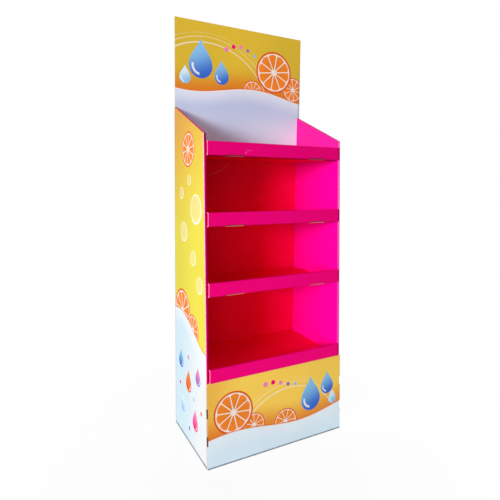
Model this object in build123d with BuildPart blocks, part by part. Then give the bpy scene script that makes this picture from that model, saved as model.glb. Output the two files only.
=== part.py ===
"""Floor-standing display stand of corrugated board, made of nine folded and die-cut blanks.

Frame: millimetres, +Z up, the front faces -Y, and the origin is on the floor under the middle of the stand.
"""
import math
import os

from build123d import *

os.makedirs("parts", exist_ok=True)

# Board, folds and fits
BOARD = 3.8                  # thickness of the corrugated board
FOLD_RADIUS = 0.8            # inside radius of every fold
SLIDE = 0.2                  # room on each side of a tab in its slot
SEAT = 0.3                   # room between boards that stand side by side
CUT = 10.0                   # how far a cutting shape runs past the board that it cuts

# Overall form
STAND_WIDTH = 600.0
SIDE_DEPTH = 352.0           # side wall, front to back, at the floor
FRONT_LEAN = 2.0             # degrees by which the front leans back
WALL_RISE = 25.5             # top tray's lip to the front corner of a side wall
WING_RISE = 132.5            # front corner to the back corner of a side wall
HEADER_RISE = 350.0          # back corner of a side wall to the top of the header card

# Shelf levels, each measured to the underside of a tray
BASE_HEIGHT = 314.0
LOWER_BAY_PITCH = 310.0
UPPER_BAY_PITCH = 249.0

# Shelf trays
LIP_HEIGHT = 50.0
LIP_PROUD = 8.0              # how far the lip stands ahead of the side walls
FLAP_HEIGHT = 50.0
FLAP_CORNER = 15.0           # radius of the side flaps' rear corners
DUST_FLAP_LENGTH = 55.0      # ends of the side flaps, folded in behind the lip's outer board
LOCK_TAB_WIDTH = 72.0        # tabs of the lip's inner board, through the fold below them
LOCK_TAB_SPACING = 364.0
LOCK_TAB_DROP = 2.0
HANG_TAB_LENGTH = 60.0       # tabs at the sides, which hang the tray in the side walls
HANG_TAB_SETBACK = 50.0      # front edge of the side wall to the first hanging tab
HANG_TAB_TIP = 0.6           # room between a hanging tab and the outer board

# Back panel
BACK_FLANGE = 40.0           # flanges folded forward into the hollow side walls
FLANGE_TAB_GAP = 10.0        # flange to the rear hanging tabs

# Front panel of the base
BASE_FLANGE = 45.0           # flange folded back under the bottom tray
TUCK_TAB_HEIGHT = 36.0
TUCK_TAB_DEPTH = 35.0
TUCK_TAB_FIRST = 104.0       # height of the middle of the lower tuck tabs
TUCK_TAB_PITCH = 102.0

# Header card
HEADER_TAB_WIDTH = 60.0
HEADER_TAB_SPACING = 300.0

# Sizes that follow from the above
LEAN = math.radians(FRONT_LEAN)
FOLD_OUTER = FOLD_RADIUS + BOARD
FACING = BOARD / math.cos(LEAN)                      # the base panel's board, measured level
BACK_Y = (SIDE_DEPTH + BOARD * math.cos(LEAN)) / 2   # puts the stand's middle on the origin
FRONT_Y = BACK_Y - SIDE_DEPTH
HALF_WIDTH = STAND_WIDTH / 2
HOLLOW = BOARD + 2 * SLIDE                           # gap in a side wall, which takes one board
WALL = 2 * BOARD + HOLLOW
HOLLOW_MIDDLE = HALF_WIDTH - BOARD - HOLLOW / 2
BAY_HALF = HALF_WIDTH - WALL
TRAY_HALF = BAY_HALF - SEAT
LIP_THICKNESS = BOARD + FOLD_OUTER + BOARD + SLIDE   # two boards and a dust flap, clear of the fold
BACK_FACE_Y = BACK_Y - BOARD                         # front face of the back panel
TRAY_BACK_Y = BACK_FACE_Y - SEAT
HEADER_FRONT_Y = TRAY_BACK_Y - BOARD
FLAP_END_Y = HEADER_FRONT_Y - SEAT
HANG_TAB_END = HALF_WIDTH - BOARD - HANG_TAB_TIP
HANG_TAB_REAR_Y = BACK_Y - BACK_FLANGE - FLANGE_TAB_GAP - HANG_TAB_LENGTH / 2

TRAY_LEVELS = {
    "bottom_tray": BASE_HEIGHT,
    "middle_tray": BASE_HEIGHT + LOWER_BAY_PITCH,
    "upper_tray": BASE_HEIGHT + LOWER_BAY_PITCH + UPPER_BAY_PITCH,
    "top_tray": BASE_HEIGHT + LOWER_BAY_PITCH + 2 * UPPER_BAY_PITCH,
}
TOP_FLOOR = TRAY_LEVELS["top_tray"] + BOARD
SIDE_FRONT_HEIGHT = TRAY_LEVELS["top_tray"] + LIP_HEIGHT + WALL_RISE
SIDE_BACK_HEIGHT = SIDE_FRONT_HEIGHT + WING_RISE
HEADER_TOP = SIDE_BACK_HEIGHT + HEADER_RISE
WING_SLOPE = WING_RISE / (SIDE_DEPTH - SIDE_FRONT_HEIGHT * math.tan(LEAN))
TOP_FLAP_DROP = math.hypot(1, WING_SLOPE) * BOARD    # thickness of a side wall's top flap, measured upright
SIDES = (-1, 1)

# The leaning plane of the side walls' front edges, facing forward
STRIP_PLANE = Plane(
    origin=(0, FRONT_Y, 0),
    x_dir=(1, 0, 0),
    z_dir=(0, -math.cos(LEAN), math.sin(LEAN)),
)
TUCK_TAB_PLACES = [
    (side * HOLLOW_MIDDLE, TUCK_TAB_FIRST + row * TUCK_TAB_PITCH) for side in SIDES for row in range(2)
]


def front_y(height):
    """Y of the side walls' front edges at a height."""
    return FRONT_Y + height * math.tan(LEAN)


def wall_top(y):
    """Height of the side walls' sloping top edge at a depth."""
    return SIDE_BACK_HEIGHT - (BACK_Y - y) * WING_SLOPE


def wall_corners(overrun=0.0):
    """Corners of a side wall seen from the side, run past its foot and its back edge by a length."""
    return (
        (front_y(-overrun), -overrun),
        (BACK_Y + overrun, -overrun),
        (BACK_Y + overrun, wall_top(BACK_Y + overrun)),
        (front_y(SIDE_FRONT_HEIGHT), SIDE_FRONT_HEIGHT),
    )


def hang_tab_places(level):
    """Y of the middles of a tray's two hanging tabs on each side."""
    return (front_y(level) + HANG_TAB_SETBACK + HANG_TAB_LENGTH / 2, HANG_TAB_REAR_Y)


def finish(piece, name):
    """Names a piece and writes it."""
    piece.part.label = name
    export_step(piece.part, f"parts/{name}.step")


def side_wall(side):
    """One blank folded round the front edge: outer board, front strip, slotted inner board and top flap."""
    hollow_plane = Plane.YZ.offset(side * (HALF_WIDTH - BOARD))
    with BuildPart() as hollow:
        with BuildSketch(hollow_plane):
            with BuildLine():
                Polyline(*wall_corners(BOARD + CUT), close=True)
            make_face()
            offset(amount=-BOARD, kind=Kind.INTERSECTION, mode=Mode.REPLACE)
        extrude(amount=-side * HOLLOW)
        fillet(hollow.faces().sort_by(Axis.Y)[0].edges().sort_by(SortBy.LENGTH)[-2:], FOLD_RADIUS)

    with BuildPart() as wall:
        with BuildSketch(Plane.YZ.offset(side * HALF_WIDTH)):
            with BuildLine():
                Polyline(*wall_corners(), close=True)
            make_face()
        extrude(amount=-side * WALL)
        front_folds = wall.faces().sort_by(Axis.Y)[0].edges().sort_by(SortBy.LENGTH)[-2:]
        top_edges = wall.faces().sort_by(Axis.Z)[-1].edges().sort_by(SortBy.LENGTH)[-2:]
        top_fold = top_edges.sort_by_distance((0, 0, SIDE_FRONT_HEIGHT))[0]
        fillet(front_folds + [top_fold], FOLD_OUTER)
        add(hollow.part, mode=Mode.SUBTRACT)

        # The top flap folds out from the inner board and lies free of the front strip and the outer board
        with BuildSketch(hollow_plane):
            with BuildLine():
                Polyline(
                    (front_y(SIDE_FRONT_HEIGHT) + FACING, SIDE_FRONT_HEIGHT - FOLD_OUTER - CUT),
                    (BACK_Y + CUT, SIDE_FRONT_HEIGHT - FOLD_OUTER - CUT),
                    (BACK_Y + CUT, SIDE_BACK_HEIGHT + CUT),
                    (front_y(SIDE_FRONT_HEIGHT) + FACING, SIDE_BACK_HEIGHT + CUT),
                    close=True,
                )
            make_face()
        extrude(amount=-side * SEAT, mode=Mode.SUBTRACT)
        with BuildSketch(STRIP_PLANE.offset(-BOARD)):
            with Locations((side * (HALF_WIDTH - BOARD), SIDE_FRONT_HEIGHT)):
                Rectangle(
                    HOLLOW + BOARD,
                    2 * FOLD_OUTER,
                    align=(Align.MAX if side > 0 else Align.MIN, Align.CENTER),
                )
        extrude(amount=-SEAT, mode=Mode.SUBTRACT)

        # The inner board stops at the back panel, and each tray hangs in its slots
        with BuildSketch(Plane.YZ.offset(side * BAY_HALF)):
            with Locations((TRAY_BACK_Y, -CUT)):
                Rectangle(BOARD + SEAT + CUT, SIDE_BACK_HEIGHT + 2 * CUT, align=(Align.MIN, Align.MIN))
            for level in TRAY_LEVELS.values():
                with Locations(*[(y, level) for y in hang_tab_places(level)]):
                    Rectangle(HANG_TAB_LENGTH + 2 * SLIDE, HOLLOW, align=(Align.CENTER, Align.MIN))
        extrude(amount=side * (BOARD + SLIDE), mode=Mode.SUBTRACT)

        # Mouths in the front strip for the base panel's tuck tabs
        with BuildSketch(STRIP_PLANE):
            with Locations(*[place for place in TUCK_TAB_PLACES if place[0] * side > 0]):
                Rectangle(HOLLOW, TUCK_TAB_HEIGHT + 2 * SLIDE)
        extrude(amount=-FOLD_OUTER - CUT, mode=Mode.SUBTRACT)
    return wall


def back_panel():
    """One blank whose sides fold forward as flanges, into the hollow side walls."""
    edge = HALF_WIDTH - BOARD - SLIDE
    with BuildPart() as panel:
        with BuildSketch(Plane.XY):
            with BuildLine():
                FilletPolyline(
                    (-edge, BACK_Y - BACK_FLANGE),
                    (-edge, BACK_Y),
                    (edge, BACK_Y),
                    (edge, BACK_Y - BACK_FLANGE),
                    radius=FOLD_OUTER,
                )
                offset(amount=BOARD, side=Side.RIGHT)
            make_face()
        extrude(amount=wall_top(BACK_Y - BACK_FLANGE) - TOP_FLAP_DROP - SEAT)
    return panel


def lip_outline(front, bottom, back, top, radius):
    """Section of a rolled lip, rounded at its three folds and square where it meets the floor."""
    with BuildSketch() as outline:
        with BuildLine():
            FilletPolyline(
                (front, bottom),
                (front, top),
                (back, top),
                (back, bottom),
                radius=[radius, radius, radius, 0],
                close=True,
            )
        make_face()
    return outline.sketch


def shelf_tray(level, lock_tabs, header_notches):
    """One blank: a floor, a lip rolled over at the front, side flaps, and tabs left in the floor's plane."""
    lip_front = front_y(level) - LIP_PROUD
    lip_back = lip_front + LIP_THICKNESS
    lip_top = level + LIP_HEIGHT
    flap_top = level + FLAP_HEIGHT
    flap_start = lip_back + SEAT
    dust_front = lip_front + FOLD_OUTER
    tab_root = TRAY_HALF - FOLD_OUTER
    tab_length = HANG_TAB_END - tab_root
    lip_skin = lip_outline(lip_front, level, lip_back, lip_top, FOLD_OUTER)
    lip_hollow = lip_outline(lip_front + BOARD, level + BOARD, lip_back - BOARD, lip_top - BOARD, FOLD_RADIUS)
    with BuildPart() as tray:
        # Lip: up the front, over the top and down behind to the floor
        with BuildSketch(Plane.YZ):
            add(lip_skin)
            add(lip_hollow, mode=Mode.SUBTRACT)
            with Locations((lip_back, level)):
                Rectangle(flap_start - lip_back, BOARD, align=(Align.MIN, Align.MIN))
            with Locations((lip_back, level + BOARD)):
                Rectangle(BOARD, SEAT, align=(Align.MAX, Align.MIN), mode=Mode.SUBTRACT)
        extrude(amount=TRAY_HALF, both=True)

        # The lip's inner board stops at the side flaps, whose dust flaps close the ends of the lip
        with BuildSketch(Plane.XY.offset(level + BOARD)):
            with Locations((TRAY_HALF, lip_front + BOARD)):
                Rectangle(2 * (BOARD + SEAT), LIP_THICKNESS, align=(Align.CENTER, Align.MIN))
            mirror(about=Plane.YZ)
        extrude(amount=LIP_HEIGHT - 2 * BOARD, mode=Mode.SUBTRACT)
        with BuildSketch(Plane.XY.offset(level + BOARD + SEAT)):
            with BuildLine():
                FilletPolyline(
                    (TRAY_HALF, flap_start),
                    (TRAY_HALF, dust_front),
                    (TRAY_HALF - DUST_FLAP_LENGTH, dust_front),
                    radius=FOLD_OUTER,
                )
                offset(amount=BOARD, side=Side.RIGHT)
            make_face()
            mirror(about=Plane.YZ)
        extrude(amount=LIP_HEIGHT - 2 * (BOARD + SEAT))

        # Floor with its side flaps turned up
        with BuildSketch(Plane.XZ.offset(-flap_start)):
            with BuildLine():
                FilletPolyline(
                    (TRAY_HALF, flap_top),
                    (TRAY_HALF, level),
                    (-TRAY_HALF, level),
                    (-TRAY_HALF, flap_top),
                    radius=FOLD_OUTER,
                )
                offset(amount=BOARD, side=Side.RIGHT)
            make_face()
        extrude(amount=flap_start - FLAP_END_Y)
        cross_edges = tray.edges().filter_by(Axis.X)
        flap_tops = cross_edges.filter_by_position(Axis.Z, flap_top - SEAT, flap_top + SEAT)
        fillet(flap_tops.sort_by(Axis.Y)[-2:], FLAP_CORNER)

        # Rear edge of the floor, behind the flaps
        with BuildSketch(Plane.XY.offset(level)):
            with Locations((0, FLAP_END_Y)):
                Rectangle(2 * TRAY_HALF, TRAY_BACK_Y - FLAP_END_Y, align=(Align.CENTER, Align.MIN))
        extrude(amount=BOARD)

        # Hanging tabs, cut out of the flaps and left flat when the flaps fold up
        tab_middles = [(side * tab_root, y) for side in SIDES for y in hang_tab_places(level)]
        for x, y in tab_middles:
            outward = Align.MIN if x > 0 else Align.MAX
            with Locations((x, y, level)):
                Box(
                    tab_length,
                    HANG_TAB_LENGTH + 2 * SLIDE,
                    BOARD + tab_length,
                    align=(outward, Align.CENTER, Align.MIN),
                    mode=Mode.SUBTRACT,
                )
                Box(tab_length, HANG_TAB_LENGTH, BOARD, align=(outward, Align.CENTER, Align.MIN))

        # Lock tabs of the lip's inner board, seen in notches along the lower edge of the lip
        if lock_tabs:
            with BuildSketch(Plane.XY.offset(level - CUT)):
                with Locations((0, lip_front - CUT)):
                    with GridLocations(LOCK_TAB_SPACING, 0, 2, 1):
                        Rectangle(
                            LOCK_TAB_WIDTH + 2 * SLIDE,
                            CUT + LIP_THICKNESS + SLIDE,
                            align=(Align.CENTER, Align.MIN),
                        )
            extrude(amount=CUT + FOLD_OUTER, mode=Mode.SUBTRACT)
            with BuildSketch(Plane.XZ.offset(-lip_back)):
                with Locations((0, level - LOCK_TAB_DROP)):
                    with GridLocations(LOCK_TAB_SPACING, 0, 2, 1):
                        Rectangle(
                            LOCK_TAB_WIDTH,
                            LOCK_TAB_DROP + LIP_HEIGHT / 2,
                            align=(Align.CENTER, Align.MIN),
                        )
            extrude(amount=BOARD)

        # Notches in the floor's rear edge for the header card's tabs
        if header_notches:
            with BuildSketch(Plane.XY.offset(level)):
                with Locations((0, HEADER_FRONT_Y - SLIDE)):
                    with GridLocations(HEADER_TAB_SPACING, 0, 2, 1):
                        Rectangle(
                            HEADER_TAB_WIDTH + 2 * SLIDE,
                            BOARD + SLIDE + CUT,
                            align=(Align.CENTER, Align.MIN),
                        )
            extrude(amount=BOARD, mode=Mode.SUBTRACT)
    return tray


def base_front_panel():
    """One blank: a front as wide as the stand, a flange under the bottom tray, and four tuck tabs."""
    foot = BOARD * math.sin(LEAN)
    with BuildPart() as panel:
        with BuildSketch(Plane.YZ):
            with BuildLine():
                FilletPolyline(
                    (front_y(foot) - FACING, foot),
                    (front_y(BASE_HEIGHT) - FACING, BASE_HEIGHT),
                    (front_y(BASE_HEIGHT) + BASE_FLANGE, BASE_HEIGHT),
                    radius=FOLD_OUTER,
                )
                offset(amount=BOARD, side=Side.RIGHT)
            make_face()
        extrude(amount=HALF_WIDTH, both=True)

        # The flange goes in between the side walls
        with BuildSketch(STRIP_PLANE):
            for side in SIDES:
                with Locations((side * TRAY_HALF, 0)):
                    Rectangle(
                        WALL + SEAT,
                        BASE_HEIGHT + CUT,
                        align=(Align.MIN if side > 0 else Align.MAX, Align.MIN),
                    )
        extrude(amount=-BASE_FLANGE - CUT, mode=Mode.SUBTRACT)

        # Tuck tabs, bent back out of notches in the panel's two edges
        for x, height in TUCK_TAB_PLACES:
            with BuildSketch(STRIP_PLANE):
                with Locations((x, height)):
                    Rectangle(
                        HALF_WIDTH - HOLLOW_MIDDLE + BOARD / 2,
                        TUCK_TAB_HEIGHT,
                        align=(Align.MIN if x > 0 else Align.MAX, Align.CENTER),
                    )
            extrude(amount=BOARD, mode=Mode.SUBTRACT)
            with BuildSketch(STRIP_PLANE.offset(BOARD)):
                with Locations((x, height)):
                    Rectangle(BOARD, TUCK_TAB_HEIGHT)
            extrude(amount=-BOARD - TUCK_TAB_DEPTH)
    return panel


def header_card():
    """One flat card: full width above the side walls, narrower between them, tabbed into the top tray."""
    shoulder = wall_top(TRAY_BACK_Y) + SEAT
    with BuildPart() as card:
        with BuildSketch(Plane.XZ.offset(-TRAY_BACK_Y)):
            with Locations((0, shoulder)):
                Rectangle(STAND_WIDTH, HEADER_TOP - shoulder, align=(Align.CENTER, Align.MIN))
            with Locations((0, TOP_FLOOR)):
                Rectangle(2 * TRAY_HALF, shoulder - TOP_FLOOR, align=(Align.CENTER, Align.MIN))
                with GridLocations(HEADER_TAB_SPACING, 0, 2, 1):
                    Rectangle(HEADER_TAB_WIDTH, BOARD, align=(Align.CENTER, Align.MAX))
        extrude(amount=BOARD)
    return card


for wall_side, wall_name in zip(SIDES, ("left_side_wall", "right_side_wall")):
    finish(side_wall(wall_side), wall_name)
finish(back_panel(), "back_panel")
for tray_name, tray_level in TRAY_LEVELS.items():
    finish(
        shelf_tray(
            tray_level,
            lock_tabs=tray_name != "bottom_tray",
            header_notches=tray_name == "top_tray",
        ),
        tray_name,
    )
finish(base_front_panel(), "base_front_panel")
finish(header_card(), "header_card")
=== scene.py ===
"""Dresses a card display stand: printed corrugated board, cut edges and plain kraft backs."""
import math
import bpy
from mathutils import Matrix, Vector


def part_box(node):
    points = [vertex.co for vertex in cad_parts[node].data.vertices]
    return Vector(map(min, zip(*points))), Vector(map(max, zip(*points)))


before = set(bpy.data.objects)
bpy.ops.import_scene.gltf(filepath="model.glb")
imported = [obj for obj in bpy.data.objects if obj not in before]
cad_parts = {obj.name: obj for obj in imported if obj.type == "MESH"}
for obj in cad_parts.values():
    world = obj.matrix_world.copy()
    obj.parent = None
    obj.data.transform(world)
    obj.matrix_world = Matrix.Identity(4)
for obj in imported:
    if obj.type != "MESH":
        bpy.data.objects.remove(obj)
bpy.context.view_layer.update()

from types import SimpleNamespace

import bpy
from mathutils import Matrix, Vector

bl_info = {
    "name": "Card display stand",
    "version": (1, 0, 0),
    "blender": (4, 5, 0),
    "location": "View3D > Sidebar > Stand",
    "description": "Prints, cut edges and kraft backs for a card display stand, with its stage",
    "category": "Material",
}

# Sizes read from the frame, in metres
WALL_LOW, WALL_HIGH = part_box("left_side_wall")
HEADER_LOW, HEADER_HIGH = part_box("header_card")
HALF_WIDTH = -WALL_LOW.x
BAY_HALF = -WALL_HIGH.x
FRONT_Y = WALL_LOW.y
BACK_Y = WALL_HIGH.y
BOARD = HEADER_HIGH.y - HEADER_LOW.y
BASE_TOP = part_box("base_front_panel")[1].z
HEADER_TOP = HEADER_HIGH.z
TOP_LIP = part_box("top_tray")[1].z

# Sizes of the folds and lips, as they are cut
LEAN = math.radians(2.0)
FOLD = 0.0046
LIP_HEIGHT = 0.050
LIP_DEPTH = 0.0124
LOCK_TAB_REACH = 0.220
WING_FRONT = 0.0255
WING_SLOPE = 0.427
TRAY_HALF = BAY_HALF - 0.0003

# Limits that tell faces apart, in metres and as a part of the normal
NEAR = 0.0006
HAIR = 0.0001
SKIN = 0.002
FOLD_TURN = 0.12

TRAYS = ("bottom_tray", "middle_tray", "upper_tray", "top_tray")
WALLS = ("left_side_wall", "right_side_wall")
LIP_MIDDLES = tuple(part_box(node)[1].z - LIP_HEIGHT / 2 for node in TRAYS)

# Plain tones, in linear light
WHITE = (1.0, 1.0, 1.0)
LINE_WHITE = (0.86, 0.84, 0.80)
FOOT_LIGHT = (0.88, 0.93, 1.0)
SIDE_FOOT_LIGHT = (0.84, 0.86, 0.88)
# Painted light on the header's pale foot: at its lower right, and at its lower left inside the wing's
# shadow
HEADER_PAINTED_LIGHT_RIGHT = (0.78, 0.86, 1.0)
HEADER_PAINTED_FILL_LEFT = (0.68, 0.78, 0.97)
BUBBLE_FILL = (0.96, 0.95, 0.86)
BUBBLE_LINE = (0.97, 0.96, 0.90)
SWEEP_LINE = (0.97, 0.94, 0.82)
SCUFF_TONE = (0.80, 0.74, 0.72)

# Sheen of the board
PAPER_ROUGHNESS = 0.82
SPECULAR = 0.04

# Stage: softboxes by azimuth in degrees to the right of the front, height, distance and size
SOFTBOXES = (
    ("key", -60.0, 1.8, 8.0, (2.6, 1.6)),
    ("top", -10.0, 6.0, 3.4, (2.5, 2.5)),
    ("fill", -30.0, 1.3, 5.0, (1.5, 1.5)),
    ("right", 105.0, 1.5, 4.0, (1.4, 1.4)),
    ("rear", 155.0, 1.6, 4.0, (1.4, 1.4)),
)
LAMP_AIM = (0.0, 0.0, 0.85)
FLOOR_SIZE = 12.0
FLOOR_DROP = 0.0004
SEEN_RAYS = ("Is Camera Ray", "Is Glossy Ray", "Is Transmission Ray")


def srgb(red, green, blue):
    """Linear colour of an ink named by its screen values."""
    def linear(value):
        share = value / 255
        return share / 12.92 if share <= 0.04045 else ((share + 0.055) / 1.055) ** 2.4
    return tuple(linear(value) for value in (red, green, blue))


def ink_property(label, words, *values):
    """A colour that a user may change."""
    return bpy.props.FloatVectorProperty(
        name=label, description=words, subtype="COLOR", size=3, min=0.0, max=1.0, default=srgb(*values)
    )


class StandInks(bpy.types.PropertyGroup):
    """Inks and papers of the stand."""

    magenta: ink_property("Magenta", "Solid ink of the trays", 248, 2, 123)
    wall_magenta: ink_property("Wall magenta", "Solid ink inside the walls", 255, 2, 154)
    front_magenta: ink_property("Front magenta", "Ink inside the walls, towards the front", 255, 2, 172)
    back_magenta: ink_property("Back magenta", "Ink of the back panel and inside the trays", 255, 2, 54)
    # Painted light: bluer magenta for the lit right part of the back and the tray floors
    back_lit_right: ink_property("Back right", "Ink of the back panel towards the right", 250, 2, 82)
    # Painted shade: crimson for the left wall's front strip, which sits in shade
    crimson_shade: ink_property("Crimson", "Front strip of the left wall", 176, 2, 54)
    # Painted shade: maroon for the shadow at the top of the left strip and at the lips' right ends
    maroon_shade: ink_property("Maroon", "Left wing's front edge and right ends of the lips", 112, 2, 44)
    header_yellow: ink_property("Header yellow", "Field of the header card", 226, 190, 58)
    base_yellow: ink_property("Base yellow", "Field of the base front", 255, 212, 90)
    base_orange: ink_property("Base orange", "Lower left of the base front's field", 228, 150, 62)
    amber: ink_property("Amber", "Top of the side print", 228, 168, 72)
    lemon: ink_property("Lemon", "Middle of the side print", 234, 220, 76)
    pale: ink_property("Pale blue", "Foot of the base front's print", 222, 243, 255)
    header_pale: ink_property("Pale violet", "Foot of the header's print", 189, 208, 238)
    side_pale: ink_property("Pale green", "Foot of the side print", 208, 230, 240)
    paper: ink_property("White paper", "Bare white liner, seen where ink has cracked", 246, 236, 226)
    orange: ink_property("Orange", "Rind of the fruit slices and thin lines", 226, 92, 30)
    flesh: ink_property("Flesh", "Segments of the fruit slices", 240, 132, 44)
    blue: ink_property("Blue", "Large drops", 58, 108, 208)
    sky: ink_property("Sky", "Small drops and bubbles", 138, 196, 238)
    rose: ink_property("Rose", "Small dots", 240, 132, 190)
    violet: ink_property("Violet", "Small drops at the foot of the sides", 150, 110, 200)
    blush: ink_property("Blush", "Ends of the lips and cut edges stained by the ink", 248, 108, 172)
    stain: ink_property("Stain", "Raw edges of the trays, soaked with ink", 222, 40, 112)
    tab_face: ink_property("Tab face", "Tabs that lock the lips, brown under thin ink", 232, 150, 112)
    # Ink stain and painted shade: darker and pinker on the tabs' lower faces and on the top tray's tabs
    tab_foot_stain_shade: ink_property("Tab foot", "Lower edge of the tabs, stained by the ink", 170, 66, 84)
    # Grey laid along the bottom edges, the sides' rear edges, the wings' rims and the header's right end
    edge_grey: ink_property("Floor dirt", "Grey on the edges that stand on the floor", 102, 110, 118)
    kraft: ink_property("Kraft", "Plain brown liner", 200, 160, 114)
    flute_shade: ink_property("Flute shade", "Depth between the flutes of a cut edge", 104, 70, 48)
    # Painted shade inside the notches of the base front
    notch_shade: ink_property("Notch", "Dark inside of the notches in the base front", 80, 66, 68)


class StandBoard(bpy.types.PropertyGroup):
    """Make of the corrugated board."""

    flute_pitch: bpy.props.FloatProperty(
        name="Flute pitch", description="Distance from flute to flute", default=0.0076, min=0.001,
        unit="LENGTH", precision=4,
    )
    ripple: bpy.props.FloatProperty(
        name="Ripple", description="Height of the flutes that shows through the liner",
        default=0.00005, min=0.0, unit="LENGTH", precision=5,
    )
    wear: bpy.props.FloatProperty(
        name="Wear", description="How far the ink is cracked at folds and rubbed at edges", default=0.7,
        min=0.0, max=1.0, subtype="FACTOR",
    )


class StandStage(bpy.types.PropertyGroup):
    """Camera and lights."""

    camera_place: bpy.props.FloatVectorProperty(
        name="Camera place", description="Where the camera stands", subtype="TRANSLATION", unit="LENGTH",
        size=3, default=(-0.8632, -1.5401, 1.0337),
    )
    camera_yaw: bpy.props.FloatProperty(
        name="Camera yaw", description="Turn of the camera to the right of the depth axis",
        subtype="ANGLE", default=0.4887,
    )
    camera_pitch: bpy.props.FloatProperty(
        name="Camera pitch", description="Tilt of the camera above level",
        subtype="ANGLE", default=-0.0862,
    )
    camera_roll: bpy.props.FloatProperty(
        name="Camera roll", description="Lean of the camera", subtype="ANGLE", default=0.0103,
    )
    camera_lens: bpy.props.FloatProperty(
        name="Lens", description="Focal length on a 36 mm sensor, in millimetres",
        default=31.21, min=1.0,
    )
    camera_shift: bpy.props.FloatProperty(
        name="Shift", description="Vertical shift of the frame", default=-0.0628,
    )
    key_power: bpy.props.FloatProperty(
        name="Key light", description="Power of the softbox at the left",
        default=590.0, min=0.0, unit="POWER",
    )
    top_power: bpy.props.FloatProperty(
        name="Top light", description="Power of the softbox high in front",
        default=60.0, min=0.0, unit="POWER",
    )
    fill_power: bpy.props.FloatProperty(
        name="Fill light", description="Power of the softbox by the camera",
        default=25.0, min=0.0, unit="POWER",
    )
    right_power: bpy.props.FloatProperty(
        name="Right light", description="Power of the softbox at the right",
        default=95.0, min=0.0, unit="POWER",
    )
    rear_power: bpy.props.FloatProperty(
        name="Rear light", description="Power of the softbox behind",
        default=95.0, min=0.0, unit="POWER",
    )
    room_light: bpy.props.FloatProperty(
        name="Room light", description="Even light from all round", default=0.15, min=0.0,
    )


class Signal:
    """Output of a node, which takes part in sums and comparisons as a number does."""

    def __init__(self, tree, socket):
        self.tree = tree
        self.socket = socket

    def __add__(self, other):
        return calc("ADD", self, other)

    def __sub__(self, other):
        return calc("SUBTRACT", self, other)

    def __rsub__(self, other):
        return calc("SUBTRACT", other, self)

    def __mul__(self, other):
        return calc("MULTIPLY", self, other)

    def __truediv__(self, other):
        return calc("DIVIDE", self, other)

    def __gt__(self, other):
        return calc("GREATER_THAN", self, other)

    def __lt__(self, other):
        return calc("LESS_THAN", self, other)

    def __abs__(self):
        return calc("ABSOLUTE", self)

    __radd__ = __add__
    __rmul__ = __mul__


def feed(socket, value):
    """Joins a signal to a socket, or sets the socket to a plain value."""
    if isinstance(value, Signal):
        value.tree.links.new(value.socket, socket)
    elif socket.type == "RGBA":
        socket.default_value = (*value, 1.0)
    else:
        socket.default_value = value


def tree_of(*values):
    """The node tree that the signals among some values belong to."""
    return next(value.tree for value in values if isinstance(value, Signal))


def calc(operation, *values):
    """A Math node."""
    tree = tree_of(*values)
    node = tree.nodes.new("ShaderNodeMath")
    node.operation = operation
    for socket, value in zip(node.inputs, values):
        feed(socket, value)
    return Signal(tree, node.outputs[0])


def fade(value, start, end):
    """Rises smoothly from 0 to 1 as a value goes from start to end."""
    tree = value.tree
    node = tree.nodes.new("ShaderNodeMapRange")
    node.interpolation_type = "SMOOTHSTEP"
    feed(node.inputs["Value"], value)
    feed(node.inputs["From Min"], start)
    feed(node.inputs["From Max"], end)
    return Signal(tree, node.outputs["Result"])


def either(*masks):
    """The stronger of some masks."""
    result = masks[0]
    for mask in masks[1:]:
        result = calc("MAXIMUM", result, mask)
    return result


def paint(under, over, amount):
    """One colour laid over another."""
    tree = tree_of(under, over, amount)
    node = tree.nodes.new("ShaderNodeMix")
    node.data_type = "RGBA"
    for label, value in (("Factor_Float", amount), ("A_Color", under), ("B_Color", over)):
        feed(next(socket for socket in node.inputs if socket.identifier == label), value)
    return Signal(tree, next(socket for socket in node.outputs if socket.identifier == "Result_Color"))


def shaded(colour, amount):
    """A colour made lighter or darker by a factor."""
    tree = tree_of(colour, amount)
    node = tree.nodes.new("ShaderNodeVectorMath")
    node.operation = "SCALE"
    feed(node.inputs[0], colour)
    feed(node.inputs["Scale"], amount)
    return Signal(tree, node.outputs[0])


def object_place(tree):
    """Place on the object, as a vector."""
    node = tree.nodes.new("ShaderNodeTexCoord")
    return Signal(tree, node.outputs["Object"])


def split(vector):
    """The three parts of a vector."""
    node = vector.tree.nodes.new("ShaderNodeSeparateXYZ")
    feed(node.inputs[0], vector)
    return [Signal(vector.tree, socket) for socket in node.outputs]


def stretched(vector, *scale):
    """A vector with each part scaled by itself."""
    node = vector.tree.nodes.new("ShaderNodeVectorMath")
    node.operation = "MULTIPLY"
    feed(node.inputs[0], vector)
    feed(node.inputs[1], scale)
    return Signal(vector.tree, node.outputs[0])


def noise(vector, scale, detail=2.0):
    """Cloudy noise from 0 to 1."""
    node = vector.tree.nodes.new("ShaderNodeTexNoise")
    feed(node.inputs["Vector"], vector)
    feed(node.inputs["Scale"], scale)
    feed(node.inputs["Detail"], detail)
    return Signal(vector.tree, node.outputs["Fac"])


def new_group(name, inputs, outputs):
    """A node group with its sockets, and the signals that come in through them."""
    group = bpy.data.node_groups.new(name, "ShaderNodeTree")
    for label, default in inputs.items():
        kind = "NodeSocketColor" if isinstance(default, tuple) else "NodeSocketFloat"
        socket = group.interface.new_socket(label, in_out="INPUT", socket_type=kind)
        socket.default_value = (*default, 1.0) if isinstance(default, tuple) else default
    for label, kind in outputs.items():
        group.interface.new_socket(label, in_out="OUTPUT", socket_type="NodeSocket" + kind)
    entry = group.nodes.new("NodeGroupInput")
    return group, {label: Signal(group, entry.outputs[label]) for label in inputs}


def close_group(group, results):
    """Joins the results of a group to its outputs."""
    node = group.nodes.new("NodeGroupOutput")
    for label, value in results.items():
        feed(node.inputs[label], value)


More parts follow.
